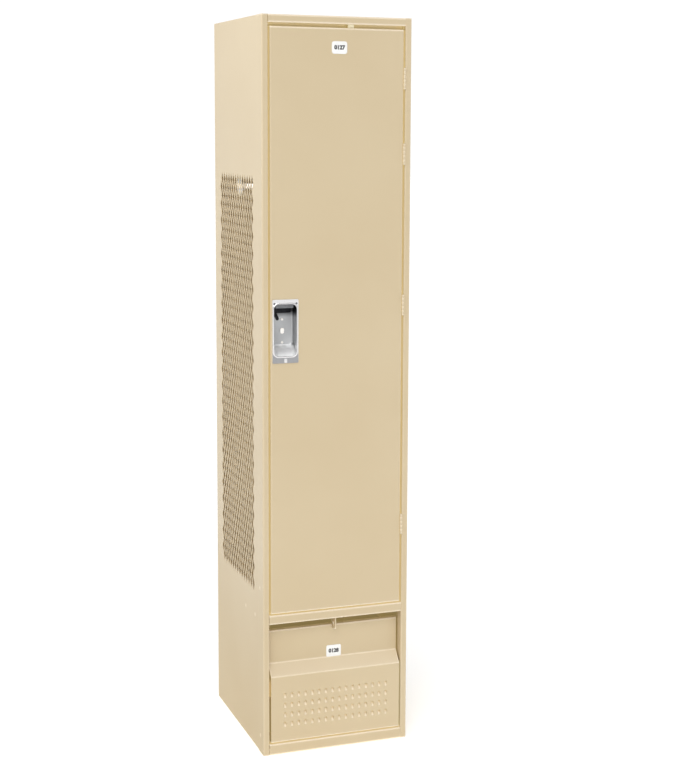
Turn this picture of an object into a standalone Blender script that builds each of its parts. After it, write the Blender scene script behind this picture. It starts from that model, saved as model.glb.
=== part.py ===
"""A single-column steel locker: a tall door with a lift latch, over a drawer.

Metres, +Z up. The origin is the middle of the base, and the door is at the front, towards -Y.
Depths are measured back from the front plane of the frame, where the door's face lies too.
"""

import math

import bmesh
import bpy
from mathutils import Matrix, Vector

# Overall size
WIDTH = 0.381
DEPTH = 0.4572
HEIGHT = 1.8288

# Sheet metal
FRAME_WALL = 0.0015
PANEL_WALL = 0.0015
DOOR_WALL = 0.0015
TRAY_WALL = 0.0012
BEND_RADIUS = 0.0015
BEND_STEPS = 3
SHARP_BEND = 0.0003

# Between pieces that touch, and past a wall that is cut
SEAT_GAP = 0.0003
OVERRUN = 0.004

# Front frame
JAMB_FACE = 0.016
JAMB_LEG = 0.043
STRIKE_DEPTH = 0.024
STRIKE_WIDTH = 0.0085
STRIKE_HEIGHT = 0.014
HEADER_FACE = 0.0193
FRAME_FLANGE = 0.040
RAIL_FACE = 0.024
SILL_FACE = 0.028
SILL_FOOT = 0.022

# Gaps round the door and the drawer
SIDE_GAP = 0.004
DOOR_TOP_GAP = 0.0085
DOOR_BOTTOM_GAP = 0.0028
DRAWER_BOTTOM_GAP = 0.003
FINGER_GAP = 0.022

# Door
DOOR_DEPTH = 0.020
DOOR_LIP = 0.008
STIFFENER_PLACE_SHARE = 0.3
STIFFENER_WIDTH = 0.060
STIFFENER_CROWN = 0.034
STIFFENER_DEPTH = 0.013
STIFFENER_END = 0.016

# Hinges
HINGE_AHEAD = 0.001
KNUCKLE_RADIUS = 0.003
KNUCKLE_COUNT = 5
KNUCKLE_SIDES = 12
PIN_RADIUS = 0.0015
PIN_CLEARANCE = 0.00015
PIN_STAND = 0.0006
HINGE_LENGTH = 0.051
LEAF_WALL = 0.0014
LEAF_WIDTH = 0.018
HINGE_HEIGHT_SHARES = (0.141, 0.530, 0.790, 0.918)

# Handle pocket
HANDLE_INSET = 0.005
HANDLE_PLACE_SHARE = 0.492
FLANGE_WIDTH = 0.066
FLANGE_HEIGHT = 0.156
FLANGE_RADIUS = 0.003
FLANGE_TOP = 0.012
POCKET_WIDTH = 0.057
POCKET_HEIGHT = 0.127
POCKET_DEPTH = 0.028
POCKET_RADIUS = 0.012
POCKET_WALL = 0.0012
POCKET_CLEARANCE = 0.0005
CORNER_STEPS = 4
RIVET_SPREAD = 0.056
RIVET_DROP = 0.010
RIVET_HEAD = 0.0026
RIVET_SHANK = 0.0015
RIVET_DOME = 0.0012
RIVET_LENGTH = 0.004
EYE_SLOT_WIDTH = 0.009
EYE_SLOT_HEIGHT = 0.019
EYE_SLOT_RADIUS = 0.003
EYE_SLOT_SIDE = 0.0135
EYE_SLOT_DROP = 0.026
LOCK_DROP = 0.068
LOCK_SCREW_REACH = 0.0285
LOCK_COVER_RADIUS = 0.007
LOCK_COVER_NECK = 0.005
LOCK_COVER_FACE = 0.0012
LOCK_SCREW_RADIUS = 0.0032
LOCK_SCREW_NECK = 0.0018
LOCK_SCREW_FACE = 0.0014
LOCK_NECK_LENGTH = 0.003
ROUND_SIDES = 16
SMALL_SIDES = 10

# Latch
LATCH_TRAVEL = 0.009
LIFT_WIDTH = 0.045
LIFT_WALL = 0.002
LIFT_DEPTH = 0.009
LIFT_REACH = 0.010
LIFT_CLEARANCE = 0.0028
LIFT_TAIL = 0.027
BAR_INSET = 0.018
BAR_WIDTH = 0.016
BAR_THICK = 0.003
BAR_END = 0.028
TAB_INSET = 0.007
TAB_HEIGHT = 0.012
CATCH_THICK = 0.003
CATCH_FINGER = 0.009
CATCH_EDGE = 0.001
CATCH_REACH = 0.0185
CATCH_CLEARANCE = 0.0006
CATCH_END_MARGIN = 0.144
CATCH_HANDLE_DROP = 0.076
GUIDE_HEIGHT = 0.026
GUIDE_WALL = 0.0015
GUIDE_FOOT_INSET = 0.0015
GUIDE_STEP_INSET = 0.0125
LOWER_GUIDE_SHARE = 0.35
UPPER_GUIDE_SHARE = 0.49

# Number plates
PLATE_WIDTH = 0.039
PLATE_HEIGHT = 0.030
PLATE_THICK = 0.001
PLATE_RADIUS = 0.002
DOOR_PLATE_DROP = 0.047
DOOR_PLATE_SIDE = 0.004
DRAWER_PLATE_SIDE = 0.0015
DRAWER_PLATE_RISE = 0.015

# Side panels and their diamond openings, at twice the pitch of the real sheet
SIDE_FRONT = 0.020
FIELD_FRONT_MARGIN = 0.083
FIELD_BACK_MARGIN = 0.056
FIELD_BOTTOM_MARGIN = 0.073
FIELD_TOP_MARGIN = 0.032
FIELD_COLUMNS = 7
FIELD_ROWS = 23
OPENING_SHARE = 0.87

# Inside panels
SHELF_DROP = 0.363
SHELF_FRONT = 0.045
SHELF_LIP = 0.025
FLOOR_LIP = 0.022
PAN_LIP = 0.020

# Coat rail
ROD_DROP = 0.051
ROD_DEPTH = 0.214
ROD_RADIUS = 0.008
SOCKET_FLANGE_RADIUS = 0.025
SOCKET_FLANGE = 0.002
SOCKET_RADIUS = 0.011
SOCKET_LENGTH = 0.012
SOCKET_CLEARANCE = 0.0003

# Bumper under the header
BUMPER_WIDTH = 0.015
BUMPER_DEPTH = 0.014
BUMPER_SET_BACK = 0.002
BUMPER_SIDE = 0.034
BUMPER_CLEARANCE = 0.0008

# Drawer
DRAWER_FACE = 0.171
SLOPE_RISE = 0.028
RECESS_HEIGHT = 0.085
RECESS_DEPTH = 0.0254
DRAWER_TOP_LIP = 0.012
DRAWER_FOOT = 0.020
TRAY_RISE = 0.017
TRAY_DROP = 0.025
TRAY_BACK_SPACE = 0.046
VENT_COLUMNS = 16
VENT_ROWS = 4
VENT_SIDE_MARGIN = 0.03625
VENT_ROW_PITCH = 0.025
VENT_RISE = 0.0825
VENT_WIDTH = 0.008
VENT_LENGTH = 0.014
VENT_STEPS = 3

# Padlock plate over the drawer
HASP_THICK = 0.003
HASP_FRONT = 0.005
HASP_LENGTH = 0.029
HASP_DROP = 0.0307
HASP_RADIUS = 0.005
HASP_HOLE_RADIUS = 0.0045
HASP_HOLE_DEPTH = 0.013
HASP_HOLE_DROP = 0.018
HASP_CLEARANCE = 0.0015
HASP_NOTCH_DROP = 0.003

# Drawer runners
RUNNER_WALL = 0.0012
RUNNER_SPACE = 0.013
RUNNER_RISE = 0.115
RUNNER_SIZE = 0.045
RUNNER_FRONT = 0.030
RUNNER_FLANGE = 0.009
RUNNER_STEP = 0.0018
BRACKET_SIZE = 0.040

# Worked out from the sizes above
HALF = WIDTH / 2
FRONT = -DEPTH / 2 + HINGE_AHEAD + KNUCKLE_RADIUS
BACK = DEPTH / 2
JAMB_INSIDE = HALF - JAMB_FACE
MEMBER_HALF = JAMB_INSIDE - SEAT_GAP
DOOR_HALF = JAMB_INSIDE - SIDE_GAP
SIDE_OUTSIDE = HALF - FRAME_WALL - SEAT_GAP
SIDE_INSIDE = SIDE_OUTSIDE - PANEL_WALL
INNER_HALF = SIDE_INSIDE - SEAT_GAP
PAN_FRONT = FRONT + STRIKE_DEPTH + FRAME_WALL + SEAT_GAP
PAN_BACK = BACK - PANEL_WALL - SEAT_GAP
DRAWER_BOTTOM = SILL_FACE + DRAWER_BOTTOM_GAP
SLOPE_BOTTOM = DRAWER_BOTTOM + DRAWER_FACE
SLOPE_TOP = SLOPE_BOTTOM + SLOPE_RISE
DRAWER_TOP = SLOPE_TOP + RECESS_HEIGHT
RAIL_BOTTOM = DRAWER_TOP + FINGER_GAP
RAIL_TOP = RAIL_BOTTOM + RAIL_FACE
FLOOR_TOP = RAIL_BOTTOM + FRAME_WALL + SEAT_GAP + PANEL_WALL
DOOR_BOTTOM = RAIL_TOP + DOOR_BOTTOM_GAP
HEADER_BOTTOM = HEIGHT - HEADER_FACE
DOOR_TOP = HEADER_BOTTOM - DOOR_TOP_GAP
DOOR_HEIGHT = DOOR_TOP - DOOR_BOTTOM
HINGE_X = DOOR_HALF + SIDE_GAP / 2
HINGE_Y = FRONT - HINGE_AHEAD
HANDLE_X = -DOOR_HALF + HANDLE_INSET + FLANGE_WIDTH / 2
HANDLE_HEIGHT = DOOR_BOTTOM + DOOR_HEIGHT * HANDLE_PLACE_SHARE
HANDLE_MIDDLE = (HANDLE_X, HANDLE_HEIGHT)
FLANGE_TOP_Z = HANDLE_HEIGHT + FLANGE_HEIGHT / 2
POCKET_UP = FLANGE_HEIGHT / 2 - FLANGE_TOP
POCKET_TOP = HANDLE_HEIGHT + POCKET_UP
POCKET_BACK = FRONT + POCKET_DEPTH
LIFT_BACK = POCKET_BACK + POCKET_WALL + POCKET_CLEARANCE + LIFT_WALL
BAR_FRONT = LIFT_BACK + SEAT_GAP
BAR_BACK = BAR_FRONT + BAR_THICK
BAR_LEFT = -DOOR_HALF + BAR_INSET
BAR_RIGHT = BAR_LEFT + BAR_WIDTH
RECESS_Y = FRONT + RECESS_DEPTH
SHELF_HEIGHT = HEIGHT - SHELF_DROP
TRAY_HALF = JAMB_INSIDE - RUNNER_SPACE
TRAY_FRONT = RECESS_Y + DOOR_WALL + SEAT_GAP
TRAY_BACK = BACK - TRAY_BACK_SPACE
TRAY_BOTTOM = SILL_FACE + TRAY_RISE
RUNNER_HEIGHT = TRAY_BOTTOM + RUNNER_RISE


def clear_scene():
    for obj in list(bpy.data.objects):
        bpy.data.objects.remove(obj, do_unlink=True)


# Materials

def finish(name, colour, roughness, metallic):
    """A Principled material, with its colour as linear red, green and blue."""
    material = bpy.data.materials.new(name)
    material.use_nodes = True
    shader = material.node_tree.nodes["Principled BSDF"]
    shader.inputs["Base Color"].default_value = (*colour, 1)
    shader.inputs["Roughness"].default_value = roughness
    shader.inputs["Metallic"].default_value = metallic
    material.diffuse_color = (*colour, 1)
    return material


def tan_enamel():
    return finish("tan_enamel", (0.68, 0.53, 0.36), 0.45, 0.0)


def stainless_steel():
    return finish("stainless_steel", (0.60, 0.60, 0.58), 0.28, 1.0)


def zinc_plate():
    return finish("zinc_plate", (0.66, 0.67, 0.68), 0.32, 1.0)


def white_plate():
    return finish("white_plate", (0.86, 0.86, 0.84), 0.40, 0.0)


def dark_steel():
    return finish("dark_steel", (0.16, 0.15, 0.14), 0.50, 0.6)


def beige_rubber():
    return finish("beige_rubber", (0.72, 0.66, 0.54), 0.70, 0.0)


# Outlines

def rectangle(low, high):
    return [(low[0], low[1]), (high[0], low[1]), (high[0], high[1]), (low[0], high[1])]


def arc(centre, radius, first, last, steps):
    """Points on a circle from one angle to another, both ends included."""
    angles = [first + (last - first) * step / steps for step in range(steps + 1)]
    return [(centre[0] + radius * math.cos(a), centre[1] + radius * math.sin(a)) for a in angles]


def circle(centre, radius, sides):
    """A circle with one of its corners towards the second axis's low end."""
    return arc(centre, radius, -math.pi / 2, 3 * math.pi / 2, sides)[:-1]


def rounded(low, high, radius, steps=CORNER_STEPS):
    """A rectangle with round corners."""
    points = []
    corners = ((high[0], low[1]), (high[0], high[1]), (low[0], high[1]), (low[0], low[1]))
    for turn, corner in enumerate(corners):
        inward = [1 if value == least else -1 for value, least in zip(corner, low)]
        centre = (corner[0] + inward[0] * radius, corner[1] + inward[1] * radius)
        first = (turn - 1) * math.pi / 2
        points += arc(centre, radius, first, first + math.pi / 2, steps)
    return points


def diamond(centre, width, height):
    u, v = centre
    return [(u - width / 2, v), (u, v - height / 2), (u + width / 2, v), (u, v + height / 2)]


def mirrored(outline):
    return [(-u, v) for u, v in outline]


def folded(path, wall, bend=BEND_RADIUS, steps=BEND_STEPS):
    """The outline of a sheet folded along a path, with its wall on the path's left and round bends."""
    face = []
    other = []
    points = [Vector(point) for point in path]
    for place, point in enumerate(points):
        before = (point - points[place - 1]).normalized() if place else None
        after = (points[place + 1] - point).normalized() if place < len(points) - 1 else None
        if before is None or after is None:
            way = after or before
            left = Vector((-way.y, way.x))
            face.append(point.copy())
            other.append(point + left * wall)
            continue
        turn = before.angle_signed(after)
        # angle_signed is positive for a turn to the right, and that puts the wall outside the bend.
        side = -1 if turn > 0 else 1
        radius = bend if turn > 0 else bend + wall
        far = bend + wall if turn > 0 else bend
        reach = radius * math.tan(abs(turn) / 2)
        left = Vector((-before.y, before.x))
        centre = point - before * reach + left * side * radius
        spoke = -left * side
        for step in range(steps + 1):
            swing = Matrix.Rotation(side * abs(turn) * step / steps, 2)
            ray = swing @ spoke
            face.append(centre + ray * radius)
            other.append(centre + ray * far)
    return [tuple(point) for point in face + other[::-1]]


# Solids

AXES = {"X": (2, 0, 1), "Y": (0, 2, 1), "Z": (0, 1, 2)}


def at(axis, u, v, along):
    """The point (u, v) across an axis and this far along it: Y and Z lie across X, and X and Z across Y."""
    values = (u, v, along)
    return Vector([values[slot] for slot in AXES[axis]])


def add_prism(bm, outline, axis, start, end):
    low = [bm.verts.new(at(axis, u, v, start)) for u, v in outline]
    high = [bm.verts.new(at(axis, u, v, end)) for u, v in outline]
    count = len(outline)
    bm.faces.new(low)
    bm.faces.new(high[::-1])
    for place in range(count):
        after = (place + 1) % count
        bm.faces.new((low[after], low[place], high[place], high[after]))


def prisms(outlines, axis, start, end):
    """One mesh with a prism for each outline."""
    bm = bmesh.new()
    for outline in outlines:
        add_prism(bm, outline, axis, start, end)
    bmesh.ops.recalc_face_normals(bm, faces=bm.faces)
    return bm


def prism(outline, axis, start, end):
    return prisms([outline], axis, start, end)


def block(low, high):
    return prism(rectangle(low[:2], high[:2]), "Z", low[2], high[2])


def front_rounded_block(low, high, radius):
    """A block with its four front edges rounded, as on a pressed pan."""
    bm = block(low, high)
    middle = (low[1] + high[1]) / 2
    edges = [edge for edge in bm.edges if all(vert.co.y < middle for vert in edge.verts)]
    bmesh.ops.bevel(bm, geom=edges, offset=radius, segments=BEND_STEPS, profile=0.5, affect="EDGES")
    return bm


def turned(profile, sides, axis, centre, way=1):
    """A turned solid from a profile of radius and distance along, which starts and ends on the axis."""
    bm = bmesh.new()
    rings = []
    for radius, along in profile:
        points = circle((0, 0), radius, sides) if radius else [(0, 0)]
        rings.append([bm.verts.new(centre + at(axis, u, v, along * way)) for u, v in points])
    for first, second in zip(rings, rings[1:]):
        for place in range(sides):
            after = (place + 1) % sides
            corners = [first[place % len(first)], first[after % len(first)]]
            corners += [second[after % len(second)], second[place % len(second)]]
            bm.faces.new(list(dict.fromkeys(corners)))
    bmesh.ops.recalc_face_normals(bm, faces=bm.faces)
    return bm


def solid(name, bm, material):
    """An object made from a mesh that is being built."""
    mesh = bpy.data.meshes.new(name)
    bm.to_mesh(mesh)
    bm.free()
    mesh.materials.append(material)
    obj = bpy.data.objects.new(name, mesh)
    bpy.context.scene.collection.objects.link(obj)
    return obj


def combine(obj, bm, operation):
    """Joins a shape to an object, or cuts it out of it, and leaves no helper behind."""
    helper = solid("helper", bm, obj.data.materials[0])
    modifier = obj.modifiers.new("combine", "BOOLEAN")
    modifier.solver = "EXACT"
    modifier.operation = operation
    modifier.object = helper
    bpy.context.view_layer.update()
    graph = bpy.context.evaluated_depsgraph_get()
    mesh = bpy.data.meshes.new_from_object(obj.evaluated_get(graph))
    old = obj.data
    obj.modifiers.clear()
    obj.data = mesh
    mesh.name = obj.name
    bpy.data.meshes.remove(old)
    bpy.data.objects.remove(helper)
    return obj


def cut(obj, *shapes):
    for shape in shapes:
        combine(obj, shape, "DIFFERENCE")
    return obj


def join(obj, *shapes):
    for shape in shapes:
        combine(obj, shape, "UNION")
    return obj


def joint_empty(name, place, parent=None):
    """An empty on a joint's axis, which carries the pieces that move there."""
    empty = bpy.data.objects.new(name, None)
    bpy.context.scene.collection.objects.link(empty)
    empty.location = place
    if parent:
        empty.location = Vector(place) - parent.matrix_world.translation
        empty.parent = parent
    bpy.context.view_layer.update()
    return empty


def carry(empty, objects):
    """Parents pieces to an empty and moves their origins there, with the pieces where they are."""
    place = empty.matrix_world.translation
    for obj in objects:
        obj.data.transform(Matrix.Translation(-place))
        obj.parent = empty


def smooth(objects):
    for obj in objects:
        obj.data.shade_smooth()
        obj.data.set_sharp_from_angle(angle=math.radians(35))


# Cabinet

def jamb_outline():
    """The left jamb seen from above: outer leg, face, inner leg and the strike behind the door's edge."""
    path = [
        (-HALF, FRONT + JAMB_LEG),
        (-HALF, FRONT),
        (-JAMB_INSIDE, FRONT),
        (-JAMB_INSIDE, FRONT + STRIKE_DEPTH),
        (-JAMB_INSIDE + STRIKE_WIDTH, FRONT + STRIKE_DEPTH),
    ]
    return folded(path, FRAME_WALL)


def jamb(name, outline, side, enamel):
    """A jamb, with its strike left off beside the drawer and where the header and the rail come in."""
    obj = solid(name, prism(outline, "Z", 0, HEIGHT), enamel)
    strike_ends = (
        (-OVERRUN, RAIL_TOP + STRIKE_HEIGHT + SEAT_GAP),
        (HEADER_BOTTOM - STRIKE_HEIGHT - SEAT_GAP, HEIGHT + OVERRUN),
    )
    for bottom, top in strike_ends:
        edges = sorted((side * (JAMB_INSIDE - STRIKE_WIDTH - OVERRUN), side * (JAMB_INSIDE + SEAT_GAP)))
        low = (edges[0], FRONT + STRIKE_DEPTH - BEND_RADIUS - SEAT_GAP, bottom)
        high = (edges[1], FRONT + STRIKE_DEPTH + FRAME_WALL + OVERRUN, top)
        cut(obj, block(low, high))
    return obj


def header(enamel):
    path = [
        (FRONT + FRAME_FLANGE, HEIGHT),
        (FRONT, HEIGHT),
        (FRONT, HEADER_BOTTOM),
        (FRONT + STRIKE_DEPTH, HEADER_BOTTOM),
        (FRONT + STRIKE_DEPTH, HEADER_BOTTOM - STRIKE_HEIGHT),
    ]
    return solid("header", prism(folded(path, FRAME_WALL), "X", -MEMBER_HALF, MEMBER_HALF), enamel)


def cross_rail(enamel):
    path = [
        (FRONT + STRIKE_DEPTH, RAIL_TOP + STRIKE_HEIGHT),
        (FRONT + STRIKE_DEPTH, RAIL_TOP),
        (FRONT, RAIL_TOP),
        (FRONT, RAIL_BOTTOM),
        (FRONT + FRAME_FLANGE, RAIL_BOTTOM),
    ]
    return solid("cross_rail", prism(folded(path, FRAME_WALL), "X", -MEMBER_HALF, MEMBER_HALF), enamel)


def sill(enamel):
    path = [
        (FRONT + FRAME_FLANGE, SILL_FACE),
        (FRONT, SILL_FACE),
        (FRONT, 0),
        (FRONT + SILL_FOOT, 0),
    ]
    return solid("sill", prism(folded(path, FRAME_WALL), "X", -MEMBER_HALF, MEMBER_HALF), enamel)


def diamonds():
    """The openings of a side panel: staggered rows, one fewer in every second row."""
    front = FRONT + FIELD_FRONT_MARGIN
    bottom = FLOOR_TOP + FIELD_BOTTOM_MARGIN
    cell = (BACK - FIELD_BACK_MARGIN - front) / FIELD_COLUMNS
    step = (SHELF_HEIGHT - FIELD_TOP_MARGIN - bottom) / (FIELD_ROWS + 1)
    outlines = []
    for row in range(FIELD_ROWS):
        shift = row % 2
        for column in range(FIELD_COLUMNS - shift):
            across = front + (column + (1 + shift) / 2) * cell
            up = bottom + (row + 1) * step
            outlines.append(diamond((across, up), cell * OPENING_SHARE, 2 * step * OPENING_SHARE))
    return outlines


def side_panel(name, side, enamel):
    edges = sorted((side * SIDE_OUTSIDE, side * SIDE_INSIDE))
    sheet = block((edges[0], FRONT + SIDE_FRONT, 0), (edges[1], BACK, HEIGHT))
    obj = solid(name, sheet, enamel)
    return cut(obj, prisms(diamonds(), "X", edges[0] - OVERRUN, edges[1] + OVERRUN))


def back_panel(enamel):
    """A flat sheet welded between the side panels."""
    return solid("back_panel", block((-INNER_HALF, BACK - PANEL_WALL, 0), (INNER_HALF, BACK, HEIGHT)), enamel)


def pan(name, front, top, lip, enamel):
    """A panel across the cabinet with its four edges turned down."""
    obj = solid(name, block((-INNER_HALF, front, top - lip), (INNER_HALF, PAN_BACK, top)), enamel)
    low = (-INNER_HALF + PANEL_WALL, front + PANEL_WALL, top - lip - OVERRUN)
    high = (INNER_HALF - PANEL_WALL, PAN_BACK - PANEL_WALL, top - PANEL_WALL)
    return cut(obj, block(low, high))


def top_panel(enamel):
    return pan("top_panel", PAN_FRONT, HEIGHT - FRAME_WALL - SEAT_GAP, PAN_LIP, enamel)


def bottom_panel(enamel):
    return pan("bottom_panel", PAN_FRONT, SILL_FACE - FRAME_WALL - SEAT_GAP, PAN_LIP, enamel)


def hat_shelf(enamel):
    return pan("hat_shelf", FRONT + SHELF_FRONT, SHELF_HEIGHT, SHELF_LIP, enamel)


def compartment_floor(enamel):
    """The floor over the drawer, with its front edge left open for the fingers that pull the drawer."""
    path = [
        (INNER_HALF, FLOOR_TOP - FLOOR_LIP),
        (INNER_HALF, FLOOR_TOP),
        (-INNER_HALF, FLOOR_TOP),
        (-INNER_HALF, FLOOR_TOP - FLOOR_LIP),
    ]
    return solid("compartment_floor", prism(folded(path, PANEL_WALL), "Y", PAN_FRONT, PAN_BACK), enamel)


def door_bumper(rubber):
    low = (BUMPER_SIDE - BUMPER_WIDTH / 2, FRONT + BUMPER_SET_BACK, DOOR_TOP + BUMPER_CLEARANCE)
    high = (BUMPER_SIDE + BUMPER_WIDTH / 2, low[1] + BUMPER_DEPTH, HEADER_BOTTOM - SEAT_GAP)
    return solid("door_bumper", block(low, high), rubber)


def coat_rail(zinc):
    """The rail and the flanged socket at each of its ends."""
    end = SIDE_INSIDE - SEAT_GAP
    rod_end = end - SOCKET_FLANGE - SEAT_GAP
    place = Vector((0, FRONT + ROD_DEPTH, SHELF_HEIGHT - ROD_DROP))
    outline = circle((place.y, place.z), ROD_RADIUS, ROUND_SIDES)
    pieces = [solid("coat_rod", prism(outline, "X", -rod_end, rod_end), zinc)]
    bore = ROD_RADIUS + SOCKET_CLEARANCE
    profile = [
        (0, 0),
        (SOCKET_FLANGE_RADIUS, 0),
        (SOCKET_FLANGE_RADIUS, SOCKET_FLANGE),
        (SOCKET_RADIUS, SOCKET_FLANGE),
        (SOCKET_RADIUS, SOCKET_LENGTH),
        (bore, SOCKET_LENGTH),
        (bore, SOCKET_FLANGE),
        (0, SOCKET_FLANGE),
    ]
    for name, side in (("left", -1), ("right", 1)):
        centre = place + Vector((side * end, 0, 0))
        shape = turned(profile, ROUND_SIDES, "X", centre, way=-side)
        pieces.append(solid("coat_rod_socket_" + name, shape, zinc))
    return pieces


def catch_heights():
    """The middle of the lower, middle and upper tab of the latch bar when the latch is down."""
    middle = FLANGE_TOP_Z - FLANGE_HEIGHT - CATCH_HANDLE_DROP
    return [DOOR_BOTTOM + CATCH_END_MARGIN, middle, DOOR_TOP - CATCH_END_MARGIN]


def guide_heights():
    """The middle of the lower guide, under the handle, and of the upper guide, over it."""
    lower, middle, upper = catch_heights()
    return [
        lower + (middle - lower) * LOWER_GUIDE_SHARE,
        FLANGE_TOP_Z + (upper - FLANGE_TOP_Z) * UPPER_GUIDE_SHARE,
    ]


def latch_catch(name, height, zinc):
    """A plate behind the left strike, with the slot that a tab of the latch bar stands behind."""
    left = -JAMB_INSIDE + CATCH_EDGE
    right = left + CATCH_REACH
    slot = -JAMB_INSIDE + STRIKE_WIDTH - CATCH_CLEARANCE
    slot_bottom = height - TAB_HEIGHT / 2 - CATCH_CLEARANCE
    slot_top = height + TAB_HEIGHT / 2 + LATCH_TRAVEL + CATCH_CLEARANCE
    outline = [
        (left, slot_bottom - CATCH_FINGER),
        (right, slot_bottom - CATCH_FINGER),
        (right, slot_bottom),
        (slot, slot_bottom),
        (slot, slot_top),
        (right, slot_top),
        (right, slot_top + CATCH_FINGER),
        (left, slot_top + CATCH_FINGER),
    ]
    front = FRONT + STRIKE_DEPTH + FRAME_WALL + SEAT_GAP
    return solid(name, prism(outline, "Y", front, front + CATCH_THICK), zinc)


def padlock_plate(enamel):
    """The plate that hangs from the rail through the notch in the drawer, with a hole for a padlock."""
    top = RAIL_BOTTOM - SEAT_GAP
    front = FRONT + HASP_FRONT
    back = front + HASP_LENGTH
    curve = top - HASP_DROP + HASP_RADIUS
    outline = arc((front + HASP_RADIUS, curve), HASP_RADIUS, math.pi, 3 * math.pi / 2, CORNER_STEPS)
    outline += arc((back - HASP_RADIUS, curve), HASP_RADIUS, 3 * math.pi / 2, 2 * math.pi, CORNER_STEPS)
    outline += [(back, top), (front, top)]
    obj = solid("padlock_plate", prism(outline, "X", -HASP_THICK / 2, HASP_THICK / 2), enamel)
    hole = circle((front + HASP_HOLE_DEPTH, top - HASP_HOLE_DROP), HASP_HOLE_RADIUS, ROUND_SIDES)
    return cut(obj, prism(hole, "X", -HASP_THICK - OVERRUN, HASP_THICK + OVERRUN))


# Hinges

def knuckles():
    """The bottom and top of each knuckle, from the hinge's middle."""
    length = (HINGE_LENGTH - (KNUCKLE_COUNT - 1) * SEAT_GAP) / KNUCKLE_COUNT
    bottoms = [-HINGE_LENGTH / 2 + place * (length + SEAT_GAP) for place in range(KNUCKLE_COUNT)]
    return [(bottom, bottom + length) for bottom in bottoms]


def leaf_shape(name, side, places, mine, enamel):
    """A hinge leaf about the pin: a plate in the gap beside the door, with the knuckles that are its own."""
    near = KNUCKLE_RADIUS + SEAT_GAP
    neck = (PIN_RADIUS + PIN_CLEARANCE + KNUCKLE_RADIUS) / 2
    low = places[0][0]
    high = places[-1][1]
    outline = [(LEAF_WIDTH, low), (LEAF_WIDTH, high), (near, high)]
    for bottom, top in mine[::-1]:
        outline += [(near, top), (neck, top), (neck, bottom), (near, bottom)]
    outline.append((near, low))
    outline = list(dict.fromkeys(outline))
    edges = sorted((side * (SIDE_GAP / 2 - SEAT_GAP), side * (SIDE_GAP / 2 - SEAT_GAP - LEAF_WALL)))
    obj = solid(name, prism(outline, "X", *edges), enamel)
    for bottom, top in mine:
        barrel = prism(circle((0, 0), KNUCKLE_RADIUS, KNUCKLE_SIDES), "Z", bottom, top)
        join(obj, barrel)
    bore = circle((0, 0), PIN_RADIUS + PIN_CLEARANCE, KNUCKLE_SIDES)
    return cut(obj, prism(bore, "Z", -HINGE_LENGTH, HINGE_LENGTH))


def hinges(enamel, zinc):
    """Four hinges: for each a leaf on the jamb, a leaf on the door and a pin. Copies share their meshes."""
    places = knuckles()
    frame_leaf = leaf_shape("hinge_frame_leaf_1", 1, places, places[0::2], enamel)
    door_leaf = leaf_shape("hinge_door_leaf_1", -1, places, places[1::2], enamel)
    half = HINGE_LENGTH / 2 + PIN_STAND
    pin = solid("hinge_pin_1", prism(circle((0, 0), PIN_RADIUS, KNUCKLE_SIDES), "Z", -half, half), zinc)
    smooth([frame_leaf, door_leaf, pin])
    fixed = []
    moving = []
    for number, share in enumerate(HINGE_HEIGHT_SHARES, start=1):
        height = DOOR_BOTTOM + DOOR_HEIGHT * share
        for first, group in ((frame_leaf, fixed), (pin, fixed), (door_leaf, moving)):
            obj = first
            if number > 1:
                obj = bpy.data.objects.new(first.name[:-1] + str(number), first.data)
                bpy.context.scene.collection.objects.link(obj)
            obj.location = (HINGE_X, HINGE_Y, height)
            group.append(obj)
    return fixed, moving


# Door

def door_skin(enamel):
    """A pressed pan with its edges turned back and inwards, and the holes for the handle pocket."""
    outer = front_rounded_block(
        (-DOOR_HALF, FRONT, DOOR_BOTTOM),
        (DOOR_HALF, FRONT + DOOR_DEPTH, DOOR_TOP),
        BEND_RADIUS + DOOR_WALL,
    )
    obj = solid("door_skin", outer, enamel)
    mouth = block(
        (-DOOR_HALF + DOOR_LIP, FRONT + DOOR_DEPTH / 2, DOOR_BOTTOM + DOOR_LIP),
        (DOOR_HALF - DOOR_LIP, FRONT + DOOR_DEPTH + OVERRUN, DOOR_TOP - DOOR_LIP),
    )
    hollow = front_rounded_block(
        (-DOOR_HALF + DOOR_WALL, FRONT + DOOR_WALL, DOOR_BOTTOM + DOOR_WALL),
        (DOOR_HALF - DOOR_WALL, FRONT + DOOR_DEPTH - DOOR_WALL, DOOR_TOP - DOOR_WALL),
        BEND_RADIUS,
    )
    holes = [pocket_outline(HANDLE_MIDDLE, POCKET_WALL + POCKET_CLEARANCE)]
    holes += [circle(place, RIVET_SHANK + SEAT_GAP, SMALL_SIDES) for place in rivet_places(HANDLE_MIDDLE)]
    return cut(obj, mouth, hollow, prisms(holes, "Y", FRONT - OVERRUN, FRONT + OVERRUN))


def door_stiffener(enamel):
    """An upright hat channel against the inside of the door's face."""
    middle = DOOR_HALF * STIFFENER_PLACE_SHARE
    near = FRONT + DOOR_WALL + SEAT_GAP
    far = near + STIFFENER_DEPTH
    path = [
        (middle - STIFFENER_WIDTH / 2, near),
        (middle - STIFFENER_CROWN / 2, near),
        (middle - STIFFENER_CROWN / 2, far),
        (middle + STIFFENER_CROWN / 2, far),
        (middle + STIFFENER_CROWN / 2, near),
        (middle + STIFFENER_WIDTH / 2, near),
    ]
    ends = (DOOR_BOTTOM + STIFFENER_END, DOOR_TOP - STIFFENER_END)
    return solid("door_stiffener", prism(folded(path, DOOR_WALL), "Z", *ends), enamel)


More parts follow.
